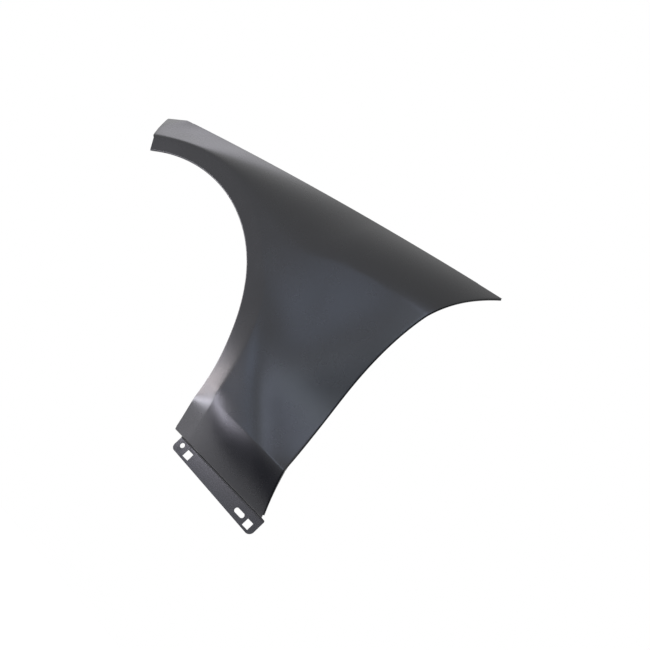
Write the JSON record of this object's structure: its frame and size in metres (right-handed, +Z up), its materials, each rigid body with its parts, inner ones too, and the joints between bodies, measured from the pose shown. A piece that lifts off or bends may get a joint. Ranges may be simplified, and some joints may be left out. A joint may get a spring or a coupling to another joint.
{
  "type": "car front fender",
  "caption": "Left front fender of a passenger car: a pressed steel panel with a flared wheel arch, a crowned upper edge and a pierced sill flange, in dark primer.",
  "frame": {"origin": "middle of the sill plate's inner face, where the fender lies against the body sill", "axes": "+X towards the rear of the car, +Y towards the middle of the car and out of the sill plate's inner face, +Z up"},
  "size_m": [0.9067, 0.1381, 0.6667],
  "materials": {
    "electrocoated_steel": "satin black electrocoat primer"
  },
  "bodies": {
    "root": {"fender_panel": "electrocoated_steel"}
  },
  "joints": []
}
